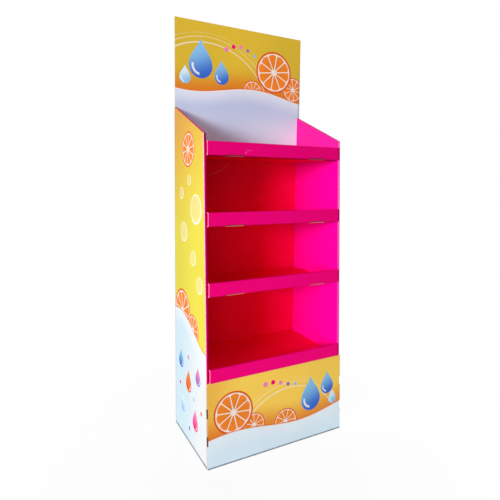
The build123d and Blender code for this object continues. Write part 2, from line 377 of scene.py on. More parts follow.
def use_group(tree, name, inputs):
    """Places a node group, and gives its outputs."""
    node = tree.nodes.new("ShaderNodeGroup")
    node.node_tree = bpy.data.node_groups[name]
    for label, value in inputs.items():
        feed(node.inputs[label], value)
    return {socket.name: Signal(tree, socket) for socket in node.outputs}


def make_ripple_group(board):
    """Flutes that show faintly through the liner, with the slow unevenness of the sheet."""
    group, given = new_group("flute_ripple", {"Across": 0.0}, {"Height": "Float"})
    place = object_place(group)
    wave = calc("SINE", given["Across"] * (2 * math.pi / board.flute_pitch))
    patchy = noise(place, 5.0) * 1.4 - 0.2
    sag = noise(place, 3.0, 1.0) * 22.0
    close_group(group, {"Height": (wave * patchy * 0.5 + sag) * board.ripple})


def make_ink_group():
    """A printed and varnished colour: uneven ink, fine grain and patches of duller varnish."""
    group, given = new_group(
        "ink_film",
        {"Ink": (0.8, 0.8, 0.8)},
        {"Color": "Color", "Roughness": "Float"},
    )
    place = object_place(group)
    cloud = noise(place, 6.0) - 0.5
    grain = noise(place, 700.0, 1.0) - 0.5
    close_group(group, {
        "Color": shaded(given["Ink"], cloud * 0.10 + grain * 0.06 + 1.0),
        "Roughness": cloud * 0.16 + grain * 0.08 + 0.48,
    })


def make_scuff_group():
    """Thin rubbed streaks in two directions, gathered in patches."""
    group, _ = new_group("scuff_marks", {}, {"Mask": "Float"})
    place = object_place(group)
    patches = fade(noise(place, 7.0), 0.56, 0.74)
    rising = fade(noise(stretched(place, 150.0, 150.0, 24.0), 1.0, 3.0), 0.64, 0.80)
    level = fade(noise(stretched(place, 18.0, 18.0, 190.0), 1.0, 3.0), 0.64, 0.80)
    close_group(group, {"Mask": either(rising, level) * patches})


def make_cut_edge_group(inks, board):
    """Cut edge of corrugated board: two liners and the fluted paper between them."""
    group, given = new_group(
        "cut_edge",
        {"Across": 0.0, "Along": 0.0, "Paper": inks.kraft[:], "Crushed": 0.0},
        {"Color": "Color", "Height": "Float"},
    )
    place = object_place(group)
    torn = noise(place, 420.0) - 0.5
    middle = BOARD / 2
    swing = calc("SINE", given["Along"] * (2 * math.pi / board.flute_pitch)) * (middle - 0.0005)
    across = given["Across"] + torn * 0.0005
    flute = 1.0 - fade(abs(across - middle - swing), 0.0004, 0.0008)
    liner = 1.0 - fade(middle - abs(across - middle), 0.0005, 0.0008)
    solid = either(flute, liner, given["Crushed"])
    fibre = shaded(given["Paper"], noise(place, 260.0, 4.0) * 0.5 + 0.78)
    hollow = paint(inks.flute_shade[:], shaded(given["Paper"], 0.45), 0.5)
    close_group(group, {
        "Color": paint(hollow, fibre, solid),
        "Height": solid * 0.0006 + torn * 0.0003,
    })


def make_kraft_group(inks, board):
    """Plain brown liner: fibres, flecks and the darker lines where the flutes are glued."""
    group, given = new_group("kraft_liner", {"Across": 0.0}, {"Color": "Color"})
    place = object_place(group)
    lines = calc("SINE", given["Across"] * (2 * math.pi / board.flute_pitch))
    fibres = noise(stretched(place, 90.0, 90.0, 420.0), 1.0, 4.0) - 0.5
    cloud = noise(place, 5.0) - 0.5
    flecks = fade(noise(place, 330.0, 1.0), 0.70, 0.78)
    tone = lines * 0.022 + fibres * 0.20 + cloud * 0.14 - flecks * 0.22 + 1.0
    close_group(group, {"Color": shaded(inks.kraft[:], tone)})


def make_fold_group(inks, board):
    """Ink that has cracked along a fold or rubbed off an edge, so that the white liner shows."""
    group, given = new_group(
        "worn_ink",
        {"Ink": (0.8, 0.8, 0.8), "Fold": 0.0, "Edge": 0.0, "Soil": 0.0},
        {"Color": "Color"},
    )
    place = object_place(group)
    cracks = fade(noise(place, 240.0, 3.0), 0.30, 0.62)
    rubs = fade(noise(place, 60.0, 4.0), 0.50, 0.66)
    bare = either(given["Fold"] * (cracks * 0.6 + 0.4), given["Edge"] * rubs) * board.wear
    # Greys the ink along the bottom edges and some outer edges
    greying = given["Soil"] * (noise(place, 90.0, 4.0) * 0.7 + 0.50)
    rubbed_ink = paint(given["Ink"], inks.paper[:], bare)
    close_group(group, {"Color": paint(rubbed_ink, inks.edge_grey[:], greying)})


def from_middle(given):
    """Offsets and distance from the middle of a motif."""
    du = given["U"] - given["Middle U"]
    dv = given["V"] - given["Middle V"]
    return du, dv, calc("SQRT", du * du + dv * dv)


MOTIF_INPUTS = {"U": 0.0, "V": 0.0, "Middle U": 0.0, "Middle V": 0.0, "Radius": 0.05}
PRINT_EDGE = 0.0004


def make_dot_group():
    """A printed disc."""
    group, given = new_group("dot", MOTIF_INPUTS, {"Mask": "Float"})
    _, _, distance = from_middle(given)
    gap = distance - given["Radius"]
    close_group(group, {"Mask": 1.0 - fade(gap, -PRINT_EDGE, PRINT_EDGE)})


def make_ring_group():
    """A printed ring, thicker at the lower left, as on a bubble."""
    group, given = new_group("ring", {**MOTIF_INPUTS, "Width": 0.004}, {"Mask": "Float"})
    du, dv, distance = from_middle(given)
    lean = (du + dv) / given["Radius"] * -0.25 + 0.75
    gap = abs(distance - given["Radius"]) - given["Width"] * 0.5 * lean
    close_group(group, {"Mask": 1.0 - fade(gap, -PRINT_EDGE, PRINT_EDGE)})


def make_drop_group():
    """A printed drop: round below, drawn out to a point above, with a light reflection at one side."""
    group, given = new_group("drop", MOTIF_INPUTS, {"Mask": "Float", "Depth": "Float", "Shine": "Float"})
    du, dv, distance = from_middle(given)
    rise = calc("MINIMUM", calc("MAXIMUM", dv / (given["Radius"] * 2.1), 0.0), 1.0)
    neck = calc("POWER", calc("COSINE", rise * (math.pi / 2)), 1.5) * given["Radius"]
    round_gap = distance - given["Radius"]
    neck_gap = either(abs(du) - neck, dv * -1.0, dv - given["Radius"] * 2.1)
    gap = calc("MINIMUM", round_gap, neck_gap)
    inner = given["Radius"] * 0.68
    crescent = abs(distance - inner) - given["Radius"] * 0.09
    corner = either(crescent, du + given["Radius"] * 0.12, dv - given["Radius"] * 0.15)
    close_group(group, {
        "Mask": 1.0 - fade(gap, -PRINT_EDGE, PRINT_EDGE),
        "Depth": fade((dv - du * 0.4) / given["Radius"], -0.9, 1.5),
        "Shine": 1.0 - fade(corner, -PRINT_EDGE, PRINT_EDGE),
    })


def make_slice_group(inks):
    """A printed fruit slice: rind, pith and ten segments of pulp."""
    group, given = new_group(
        "fruit_slice",
        {**MOTIF_INPUTS, "Turn": 0.0},
        {"Color": "Color", "Mask": "Float"},
    )
    du, dv, distance = from_middle(given)
    reach = distance / given["Radius"]
    angle = calc("ARCTAN2", dv, du) + given["Turn"]
    membrane = abs(calc("SINE", angle * 5.0)) * reach
    arched = reach + (0.16 - membrane * 0.2) * 0.35
    segment = fade(membrane, 0.10, 0.15) * (1.0 - fade(arched, 0.84, 0.88)) * fade(reach, 0.12, 0.17)
    join_vector = group.nodes.new("ShaderNodeCombineXYZ")
    feed(join_vector.inputs[0], angle * 9.0)
    feed(join_vector.inputs[1], reach * 2.2)
    pulp = noise(Signal(group, join_vector.outputs[0]), 1.6, 3.0)
    flesh = shaded(inks.flesh[:], pulp * 0.5 + reach * 0.22 + 0.66)
    pith = paint(inks.orange[:], inks.paper[:], 1.0 - fade(reach, 0.90, 0.925))
    close_group(group, {
        "Color": paint(pith, flesh, segment),
        "Mask": 1.0 - fade(distance - given["Radius"], -PRINT_EDGE, PRINT_EDGE),
    })


def make_wave_group():
    """Height above a waving line, which parts two fields of a print."""
    group, given = new_group(
        "wave_line",
        {"U": 0.0, "V": 0.0, "Level": 0.0, "Swing": 0.02, "Length": 0.6, "Start": 0.0, "Slope": 0.0},
        {"Gap": "Float"},
    )
    swing = calc("SINE", given["U"] / given["Length"] * (2 * math.pi) + given["Start"]) * given["Swing"]
    close_group(group, {"Gap": given["V"] - given["Level"] - swing - given["U"] * given["Slope"]})


def make_groups(inks, board):
    """Builds every shared effect once."""
    if "flute_ripple" in bpy.data.node_groups:
        return
    make_ripple_group(board)
    make_ink_group()
    make_scuff_group()
    make_cut_edge_group(inks, board)
    make_kraft_group(inks, board)
    make_fold_group(inks, board)
    make_dot_group()
    make_ring_group()
    make_drop_group()
    make_slice_group(inks)
    make_wave_group()


# Motifs of the prints: places across and up the sheet, and radii, in metres
HEADER_MOTIFS = {
    "rings": (
        ((-0.16, 1.30), 0.300, 0.010, 0.55),
        ((-0.16, 1.30), 0.322, 0.006, 0.40),
        ((-0.16, 1.30), 0.338, 0.003, 0.30),
    ),
    "slices": (
        ((0.262, 1.452), 0.055, 0.2),
        ((0.160, 1.518), 0.090, 0.5),
        ((0.052, 1.425), 0.046, 0.1),
    ),
    "wave": {"Level": 1.408, "Swing": 0.020, "Length": 0.62, "Start": 0.9, "Slope": -0.03},
    "drops": (
        ((-0.190, 1.505), 0.052, "blue", "sky"),
        ((-0.096, 1.470), 0.033, "blue", "sky"),
        ((-0.258, 1.450), 0.024, "sky", "pale"),
    ),
    "dots": tuple(
        ((-0.075 + 0.034 * step, 1.585 + 0.020 * math.sin(step * 0.9)), 0.010 - 0.0008 * step, ink)
        for step, ink in enumerate(("rose", "magenta", "rose", "violet", "sky"))
    ),
}
BASE_MOTIFS = {
    "rings": (
        ((0.05, -0.02), 0.250, 0.009, 0.55),
        ((0.05, -0.02), 0.270, 0.005, 0.40),
        ((0.05, -0.02), 0.284, 0.003, 0.30),
    ),
    "slices": (
        ((-0.110, 0.120), 0.046, 0.3),
        ((-0.195, 0.188), 0.080, 0.1),
        ((0.030, 0.098), 0.052, 0.6),
    ),
    "wave": {"Level": 0.098, "Swing": 0.018, "Length": 0.62, "Start": -2.6, "Slope": 0.03},
    "drops": (
        ((0.150, 0.160), 0.046, "blue", "sky"),
        ((0.232, 0.196), 0.031, "blue", "sky"),
        ((0.258, 0.138), 0.019, "sky", "pale"),
    ),
    "dots": tuple(
        ((-0.06 + 0.034 * step, 0.252 + 0.014 * math.sin(step * 0.9 + 1.0)), 0.010 - 0.0008 * step, ink)
        for step, ink in enumerate(("rose", "magenta", "rose", "violet", "sky"))
    ),
}
SIDE_BUBBLES = (
    ((-0.060, 0.930), 0.052),
    ((0.070, 0.835), 0.036),
    ((-0.030, 0.745), 0.027),
    ((0.095, 0.985), 0.022),
    ((-0.095, 0.655), 0.030),
    ((0.010, 1.035), 0.018),
)
SIDE_SLICES = (
    ((0.020, 1.150), 0.066, 0.2),
    ((0.085, 0.515), 0.088, 0.5),
    ((-0.030, 0.470), 0.058, 0.1),
)
SIDE_WAVE = {"Level": 0.465, "Swing": 0.022, "Length": 0.42, "Start": 0.5, "Slope": 0.22}
SIDE_DROPS = (
    ((0.105, 0.300), 0.026, "blue", "sky"),
    ((0.018, 0.235), 0.030, "orange", "flesh"),
    ((-0.082, 0.295), 0.024, "violet", "rose"),
    ((0.080, 0.120), 0.024, "sky", "pale"),
    ((-0.055, 0.110), 0.028, "magenta", "rose"),
)
SIDE_DOTS = (
    ((0.020, 0.345), 0.009, "rose"),
    ((-0.040, 0.200), 0.007, "sky"),
    ((0.118, 0.205), 0.008, "magenta"),
    ((0.010, 0.060), 0.008, "violet"),
    ((-0.115, 0.180), 0.009, "flesh"),
)

# Shelves: where painted light turns the red bluer towards the lit right, an arc rubbed into the back,
# and rubs on the top lip, each with its middle, outer half size and inner half size
BACK_LIT_SPAN = (0.09, 0.285)
BACK_RUB = {"Middle U": -0.25, "Middle V": 1.35, "Radius": 0.31, "Width": 0.008}
TOP_LIP_RUBS = (
    ((-0.127, 1.1435), (0.014, 0.0020), (0.008, 0.0006)),
    ((-0.140, 1.134), (0.006, 0.0034), (0.002, 0.0012)),
)


class Print:
    """A print in the making: a place on the sheet and the colour laid down so far."""

    def __init__(self, u, v, colour):
        self.tree = u.tree
        self.u = u
        self.v = v
        self.colour = colour

    def motif(self, name, place, radius, **more):
        """Places a motif group."""
        inputs = {"U": self.u, "V": self.v, "Middle U": place[0], "Middle V": place[1], "Radius": radius}
        return use_group(self.tree, name, {**inputs, **more})

    def lay(self, ink, mask):
        """Lays an ink over the print."""
        self.colour = paint(self.colour, ink, mask)

    def dot(self, place, radius, ink, strength=1.0):
        self.lay(ink, self.motif("dot", place, radius)["Mask"] * strength)

    def ring(self, place, radius, width, ink, strength):
        self.lay(ink, self.motif("ring", place, radius, Width=width)["Mask"] * strength)

    def drop(self, place, radius, ink, light):
        drop = self.motif("drop", place, radius)
        self.lay(paint(ink, light, drop["Depth"]), drop["Mask"])
        self.lay(WHITE, drop["Shine"] * 0.75)

    def slice(self, place, radius, turn):
        fruit = self.motif("fruit_slice", place, radius, Turn=turn)
        self.lay(fruit["Color"], fruit["Mask"])

    def wave(self, shape):
        """Height above a waving line."""
        return use_group(self.tree, "wave_line", {"U": self.u, "V": self.v, **shape})["Gap"]

    def foot(self, inks, pale, gap):
        """The pale field below a waving line, edged in white and orange, and lighter near the line."""
        self.lay(inks.orange[:], 1.0 - fade(gap, 0.0080, 0.0088))
        self.lay(LINE_WHITE, 1.0 - fade(gap, 0.0050, 0.0058))
        field = paint(pale, FOOT_LIGHT, fade(gap, -0.07, 0.0) * 0.6)
        self.lay(field, 1.0 - fade(gap, 0.0, 0.0008))

    def drops(self, inks, places):
        for place, radius, ink, light in places:
            self.drop(place, radius, getattr(inks, ink)[:], getattr(inks, light)[:])

    def dots(self, inks, places):
        for place, radius, ink in places:
            self.dot(place, radius, getattr(inks, ink)[:])


def surface(tree):
    """Place and normal of the surface, part by part."""
    place = object_place(tree)
    x, y, z = split(place)
    geometry = tree.nodes.new("ShaderNodeNewGeometry")
    nx, ny, nz = split(Signal(tree, geometry.outputs["Normal"]))
    return SimpleNamespace(place=place, x=x, y=y, z=z, nx=nx, ny=ny, nz=nz, ax=abs(x))


def new_material(name):
    """An empty material and its tree."""
    material = bpy.data.materials.new(name)
    material.use_nodes = True
    return material, material.node_tree


def assign(material, *nodes):
    """Puts a material in every slot of some CAD nodes."""
    for node in nodes:
        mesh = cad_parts[node].data
        mesh.materials.clear()
        mesh.materials.append(material)


def shade_board(tree, colour, printed, film, height):
    """Feeds the shader: satin where it is printed, dull on bare paper."""
    shader = next(node for node in tree.nodes if node.type == "BSDF_PRINCIPLED")
    feed(shader.inputs["Base Color"], colour)
    feed(shader.inputs["Roughness"], film["Roughness"] * printed + (1.0 - printed) * PAPER_ROUGHNESS)
    feed(shader.inputs["Specular IOR Level"], SPECULAR)
    bump = tree.nodes.new("ShaderNodeBump")
    feed(bump.inputs["Strength"], 1.0)
    feed(bump.inputs["Distance"], 1.0)
    feed(bump.inputs["Height"], height)
    tree.links.new(bump.outputs["Normal"], shader.inputs["Normal"])


def board_finish(tree, print_colour, printed, wear, section_place, cut, flute):
    """Finish of a board: print, worn folds and edges, cut edges and plain liner."""
    film = use_group(tree, "ink_film", {"Ink": print_colour})
    scuffs = use_group(tree, "scuff_marks", {})["Mask"]
    inked = paint(film["Color"], SCUFF_TONE, scuffs * 0.10)
    worn = use_group(tree, "worn_ink", {"Ink": inked, **wear})["Color"]
    liner = use_group(tree, "kraft_liner", {"Across": flute})["Color"]
    section = use_group(tree, "cut_edge", section_place)
    ripple = use_group(tree, "flute_ripple", {"Across": flute})["Height"]
    bare = paint(liner, section["Color"], cut)
    height = ripple * (1.0 - cut) + section["Height"] * cut
    shade_board(tree, paint(bare, worn, printed), printed, film, height)


def shaded_ink(ink, amount):
    """A plain ink made lighter or darker."""
    return tuple(value * amount for value in ink)


def dress_front(print_, inks, pale, motifs):
    """Adds the motifs of a front print in order, from the back of the picture to its front."""
    gap = print_.wave(motifs["wave"])
    print_.lay(inks.orange[:], fade(gap, 0.105, 0.0) * 0.7)
    for place, radius, width, strength in motifs["rings"]:
        print_.ring(place, radius, width, SWEEP_LINE, strength)
    for place, radius, turn in motifs["slices"]:
        print_.slice(place, radius, turn)
    print_.foot(inks, pale, gap)
    print_.drops(inks, motifs["drops"])
    print_.dots(inks, motifs["dots"])
    return print_.colour


def side_print(inks, spot):
    """Amber to lemon over a pale foot, with bubbles between fruit slices and drops below."""
    lemon = fade(spot.z + spot.y * 0.43, 1.40, 0.81)
    # Painted shade: the side field darkens towards its rear edge
    rear_shade = fade(spot.y, -0.10, 0.17)
    field = shaded(paint(inks.amber[:], inks.lemon[:], lemon), 1.0 - rear_shade * 0.10)
    print_ = Print(spot.y, spot.z, field)
    for place, radius in SIDE_BUBBLES:
        print_.dot(place, radius, BUBBLE_FILL, 0.22)
        print_.ring(place, radius, radius * 0.16, BUBBLE_LINE, 0.9)
    for place, radius, turn in SIDE_SLICES:
        print_.slice(place, radius, turn)
    gap = print_.wave(SIDE_WAVE)
    print_.foot(inks, inks.side_pale[:], gap)
    print_.lay(SIDE_FOOT_LIGHT, fade(spot.y, 0.10, -0.12) * fade(gap, 0.0, -0.0008) * 0.9)
    print_.drops(inks, SIDE_DROPS)
    print_.dots(inks, SIDE_DOTS)
    return print_.colour


def header_print(inks, spot):
    """Yellow over a pale foot: drops at the left, fruit slices at the right, rings between."""
    glow = fade(abs(spot.x - 0.02), 0.30, 0.02)
    field = paint(shaded_ink(inks.header_yellow, 0.93), inks.header_yellow[:], glow)
    print_ = Print(spot.x, spot.z, field)
    dress_front(print_, inks, inks.header_pale[:], HEADER_MOTIFS)
    # Painted light: the pale foot is lightened at the lower right, and at the lower left inside the
    # wing's shadow
    print_.lay(HEADER_PAINTED_LIGHT_RIGHT, fade(spot.x, -0.22, 0.28) * fade(spot.z, 1.40, 1.22) * 0.75)
    print_.lay(HEADER_PAINTED_FILL_LEFT, fade(spot.x, 0.0, -0.22) * fade(spot.z, 1.36, 1.26) * 0.9)
    return print_.colour


def base_print(inks, spot):
    """Yellow over a pale foot: fruit slices at the left, drops at the right and rings behind them."""
    glow = fade(abs(spot.x + 0.03), 0.30, 0.02)
    yellow = paint(shaded_ink(inks.base_yellow, 0.96), inks.base_yellow[:], glow)
    low_left = fade(spot.x + spot.z * 0.8, 0.08, -0.20) * 0.25
    left = fade(spot.x, -0.16, -0.31) * 0.45
    print_ = Print(spot.x, spot.z, paint(yellow, inks.base_orange[:], either(low_left, left)))
    return dress_front(print_, inks, inks.pale[:], BASE_MOTIFS)


def side_faces(spot):
    """Where the faces, folds and corners of the side walls lie."""
    outward = spot.nx * calc("SIGN", spot.x)
    setback = spot.y - spot.z * math.tan(LEAN) - FRONT_Y
    above = spot.z - TOP_LIP - WING_FRONT
    strip = (spot.ny < -FOLD_TURN) * (setback < FOLD + NEAR)
    inside = (outward < -0.5) * (spot.ax < BAY_HALF + SKIN)
    return SimpleNamespace(
        setback=setback,
        below_slope=setback * WING_SLOPE - above,
        outside=fade(outward, 0.93, 0.97) * (spot.ax > HALF_WIDTH - SKIN),
        strip=strip,
        flat=strip * (1.0 - fade(outward, 0.35, 0.7)),
        fold=strip * fade(outward, 0.40, 0.70) * (1.0 - fade(outward, 0.95, 0.98)),
        covered=strip * (spot.z < BASE_TOP - 0.012),
        inside=inside,
        wing=inside * (spot.z > TOP_LIP),
        on_slope=(spot.nz > FOLD_TURN) * (spot.nz < 0.97) * (spot.z > TOP_LIP + NEAR),
        corner=1.0 - fade(calc("SQRT", setback * setback + above * above), 0.006, 0.022),
    )


def wall_ink(inks, spot, wall):
    """Magenta inside the walls and round their front edges, with knocks along the wings' edges, painted
    shade on the left strip and a painted highlight on the right edge.
    """
    left = spot.x < 0.0
    beside = either(*(abs(spot.z - middle) < LIP_HEIGHT / 2 for middle in LIP_MIDDLES))
    # Painted highlight: light pink along the right wall's front edge, brighter higher up, left out
    # beside the lips
    edge_highlight = wall.strip * fade(HALF_WIDTH - spot.ax, 0.0120, 0.0085) * (1.0 - left) * (1.0 - beside)
    edge_highlight = edge_highlight * (fade(spot.z, 0.6, 1.0) * 0.5 + 0.5)
    near_slope = 1.0 - fade(wall.below_slope, 0.006, 0.016)
    near_front = 1.0 - fade(wall.setback, 0.018, 0.036)
    knocks = wall.wing * either(near_slope, near_front) * fade(noise(spot.place, 150.0), 0.53, 0.62)
    ink = paint(inks.wall_magenta[:], inks.front_magenta[:], fade(wall.setback, 0.24, 0.04))
    ink = paint(ink, inks.blush[:], either(wall.wing * 0.10, edge_highlight))
    ink = paint(ink, shaded(ink, 0.55), knocks)
    # Painted shade: the left wall's front strip darkens to crimson, a little more beside the lips
    ink = paint(ink, inks.crimson_shade[:], wall.flat * left * (beside * 0.10 + 0.80))
    # Painted shade: the left strip turns maroon above the top lip
    ink = paint(ink, inks.maroon_shade[:], wall.flat * left * (spot.z > TOP_LIP) * 0.8)
    # Painted shade: the strip behind the base front, seen through its notches, takes the dark flute
    # shade
    return paint(ink, inks.flute_shade[:], wall.covered)


def side_material(inks):
    """Both side walls: print outside, magenta round the front and inside, kraft in the hollow."""
    material, tree = new_material("side_print")
    spot = surface(tree)
    wall = side_faces(spot)
    flap = wall.on_slope * (spot.ax < HALF_WIDTH - BOARD - HAIR)
    printed = either(wall.outside, wall.strip, wall.inside, flap)
    colour = paint(wall_ink(inks, spot, wall), side_print(inks, spot), wall.outside)
    foot = 1.0 - fade(spot.z, 0.005, 0.011)
    rear = wall.outside * (1.0 - fade(BACK_Y - spot.y, 0.002, 0.008))
    rim = (1.0 - wall.outside) * (1.0 - fade(wall.below_slope, 0.003, 0.006)) * (1.0 - wall.corner)
    wear = {
        "Fold": wall.fold * (1.0 - wall.covered),
        "Edge": wall.corner * (1.0 - wall.outside) * (1.0 - wall.strip),
        "Soil": either(foot, rear * 0.6, rim * 0.15),
    }
    inner = spot.ax < (HALF_WIDTH + BAY_HALF) / 2
    section_place = {
        "Across": calc("MINIMUM", HALF_WIDTH - spot.ax, spot.ax - BAY_HALF),
        "Along": spot.y,
        "Paper": paint(paint(inks.kraft[:], inks.blush[:], inner), inks.stain[:], wall.on_slope),
        "Crushed": wall.on_slope * 0.9,
    }
    cut = 1.0 - fade(abs(spot.nx), 0.2, 0.4)
    board_finish(tree, colour, printed, wear, section_place, cut, spot.y)
    return material


def tray_faces(spot, node):
    """Where the lip, flaps, floor and tabs of a tray lie."""
    low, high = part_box(node)
    depth = spot.y - low.y
    rise = spot.z - (high.z - LIP_HEIGHT)
    at_lip = depth < LIP_DEPTH + NEAR
    behind = (depth > LIP_DEPTH + HAIR) * (abs(spot.ny) < 0.5) * (spot.ax < TRAY_HALF + 2 * HAIR)
    flap_end = (spot.ax > TRAY_HALF - FOLD - NEAR) * (depth > BOARD + 4 * HAIR)
    return SimpleNamespace(
        depth=depth,
        rise=rise,
        lip_front=(spot.ny < -FOLD_TURN) * (depth < FOLD + NEAR),
        lip_top=(spot.nz > FOLD_TURN) * (rise > LIP_HEIGHT - FOLD - NEAR) * at_lip,
        lip_back=(spot.ny > 0.5) * (abs(depth - LIP_DEPTH) < NEAR) * (rise > BOARD),
        lip_end=(abs(spot.nx) > 0.5) * (spot.ax > TRAY_HALF - NEAR) * (depth < LIP_DEPTH),
        behind=behind,
        flap=behind * (abs(spot.nx) > 0.5),
        flap_edge=(spot.nz > 0.7) * (rise > LIP_HEIGHT - NEAR),
        tucked=flap_end * (abs(spot.nx) > FOLD_TURN) * (rise > BOARD) * (rise < LIP_HEIGHT - BOARD),
        underside=(spot.nz < -0.5) * (abs(rise) < NEAR / 2),
        tab=(spot.ax < LOCK_TAB_REACH) * (rise < 0.0) * at_lip,
    )


def rubbed(spot, middle, outer, inner):
    """A short rubbed mark on an upright face, soft at its edges."""
    across = fade(abs(spot.x - middle[0]), outer[0], inner[0])
    return across * fade(abs(spot.z - middle[1]), outer[1], inner[1])


def tray_ink(inks, spot, tray):
    """Magenta on the lip, red on the floor, and brown on the tabs that lock the lip."""
    # Painted shade: the lips darken towards the top tray
    lip = shaded(inks.magenta[:], 1.0 - fade(spot.z, 0.5, 1.15) * 0.12)
    # Painted shade: each lip darkens towards maroon at its right end
    lip = paint(lip, inks.maroon_shade[:], fade(spot.x, TRAY_HALF - 0.008, TRAY_HALF - 0.004) * 0.5)
    lip = paint(lip, inks.blush[:], either(*(rubbed(spot, *mark) for mark in TOP_LIP_RUBS)) * 0.4)
    # Painted light: the floor turns bluer towards the lit right
    floor = paint(inks.back_magenta[:], inks.back_lit_right[:], fade(spot.x, *BACK_LIT_SPAN))
    # Painted shade: the underside of a tray darkens near its front, under the lip
    floor = shaded(floor, 1.0 - tray.underside * fade(tray.depth, 0.08, 0.02) * 0.6)
    inner = either(tray.behind, tray.lip_back, tray.underside)
    ink = paint(lip, paint(floor, inks.wall_magenta[:], tray.flap), inner)
    # Ink stain and painted shade on the tabs' lower faces and on the top tray's tabs
    stain_and_shade = either(spot.nz < -0.3, fade(spot.z, 1.00, 1.10) * 0.95)
    return paint(ink, paint(inks.tab_face[:], inks.tab_foot_stain_shade[:], stain_and_shade), tray.tab)


def tray_material(inks, node):
    """One shelf tray: ink on both faces, stained where the board is cut."""
    material, tree = new_material(node + "_print")
    spot = surface(tree)
    tray = tray_faces(spot, node)
    shelf = tray.behind * (1.0 - tray.flap_edge)
    lip = either(tray.lip_front, tray.lip_top, tray.lip_back)
    printed = either(lip, shelf, tray.tucked, tray.underside, tray.tab)
    paper = paint(inks.stain[:], inks.front_magenta[:], tray.flap_edge)
    paper = paint(paper, paint(inks.blush[:], inks.paper[:], tray.lip_end * 0.35), tray.lip_end)
    nearest = calc("MINIMUM", tray.depth, abs(tray.rise))
    section_place = {
        "Across": calc("MINIMUM", nearest, LIP_HEIGHT - tray.rise),
        "Along": spot.x * (1.0 - tray.flap_edge),
        "Paper": paper,
        "Crushed": either(tray.lip_end, tray.flap_edge) * 0.9,
    }
    board_finish(tree, tray_ink(inks, spot, tray), printed, {}, section_place, 1.0 - printed, spot.x)
    return material


def back_material(inks):
    """Back panel: magenta towards the shelves, kraft behind."""
    material, tree = new_material("back_print")
    spot = surface(tree)
    printed = spot.ny < -0.5
    cut = fade(abs(spot.nz), 0.5, 0.7)
    section_place = {"Across": BACK_Y - spot.y, "Along": spot.x}
    # Painted light: the back turns bluer towards its lit right
    right = fade(spot.x, *BACK_LIT_SPAN)
    # Painted shade: the back darkens in the top bay, less towards the right
    shade = 1.0 - fade(spot.z, 0.90, 1.06) * (1.0 - right) * 0.20
    colour = shaded(paint(inks.back_magenta[:], inks.back_lit_right[:], right), shade)
    rub = use_group(tree, "ring", {"U": spot.x, "V": spot.z, **BACK_RUB})["Mask"]
    rub = rub * fade(spot.x, -0.04, -0.07) * fade(noise(spot.place, 30.0), 0.35, 0.55)
    colour = paint(colour, inks.paper[:], rub * 0.05)
    board_finish(tree, colour, printed, {}, section_place, cut, spot.x)
    return material


def base_material(inks):
    """Front panel of the base: print in front and over the top fold, kraft behind."""
    material, tree = new_material("base_print")
    spot = surface(tree)
    face = FRONT_Y - BOARD / math.cos(LEAN)
    setback = spot.y - spot.z * math.tan(LEAN) - face
    front = (spot.ny < -FOLD_TURN) * (setback < FOLD + NEAR)
    cut = either(fade(abs(spot.nx), 0.5, 0.7), (spot.nz < -0.7) * (setback < FOLD))
    fold = (spot.nz > 0.15) * (setback < FOLD + NEAR)
    foot = 1.0 - fade(spot.z, 0.003, 0.008)
    wear = {"Fold": fold * 0.15, "Soil": foot}
    # Painted shade: the cut faces inside the notches are dark, and less crushed so more dark hollow
    # shows
    notch_shade = spot.ax < HALF_WIDTH - SKIN
    paper = paint(inks.paper[:], inks.notch_shade[:], notch_shade)
    section_place = {"Across": setback, "Along": spot.x, "Paper": paper, "Crushed": 1.0 - notch_shade * 0.5}
    board_finish(tree, base_print(inks, spot), front, wear, section_place, cut, spot.x)
    return material


def header_material(inks):
    """Header card: print in front, kraft behind."""
    material, tree = new_material("header_print")
    spot = surface(tree)
    printed = spot.ny < -0.5
    cut = 1.0 - fade(abs(spot.ny), 0.5, 0.7)
    top = fade(spot.z, HEADER_TOP - 0.005, HEADER_TOP - 0.0005)
    right_end = fade(spot.x, HALF_WIDTH - 0.012, HALF_WIDTH - 0.003) * fade(spot.z, 1.60, 1.45)
    wear = {"Edge": top * 0.3, "Soil": right_end * 0.5}
    section_place = {"Across": spot.y - HEADER_LOW.y, "Along": spot.x, "Paper": inks.paper[:]}
    board_finish(tree, header_print(inks, spot), printed, wear, section_place, cut, spot.x)
    return material


class StandOperator:
    """Shared start of the operators that dress the boards."""

    bl_options = {"REGISTER", "UNDO"}

    def inks(self, context):
        scene = context.scene
        make_groups(scene.stand_inks, scene.stand_board)
        return scene.stand_inks


class STAND_OT_side_walls(StandOperator, bpy.types.Operator):
    """Prints both side walls"""

    bl_idname = "stand.side_walls"
    bl_label = "Side walls"

    def execute(self, context):
        assign(side_material(self.inks(context)), *WALLS)
        return {"FINISHED"}


class STAND_OT_trays(StandOperator, bpy.types.Operator):
    """Prints the four shelf trays"""

    bl_idname = "stand.trays"
    bl_label = "Shelf trays"

    def execute(self, context):
        inks = self.inks(context)
        for node in TRAYS:
            assign(tray_material(inks, node), node)
        return {"FINISHED"}


class STAND_OT_back_panel(StandOperator, bpy.types.Operator):
    """Prints the back panel"""

    bl_idname = "stand.back_panel"
    bl_label = "Back panel"

    def execute(self, context):
        assign(back_material(self.inks(context)), "back_panel")
        return {"FINISHED"}


class STAND_OT_base_front(StandOperator, bpy.types.Operator):
    """Prints the front panel of the base"""

    bl_idname = "stand.base_front"
    bl_label = "Base front"

    def execute(self, context):
        assign(base_material(self.inks(context)), "base_front_panel")
        return {"FINISHED"}


class STAND_OT_header(StandOperator, bpy.types.Operator):
    """Prints the header card"""

    bl_idname = "stand.header"
    bl_label = "Header card"

    def execute(self, context):
        assign(header_material(self.inks(context)), "header_card")
        return {"FINISHED"}


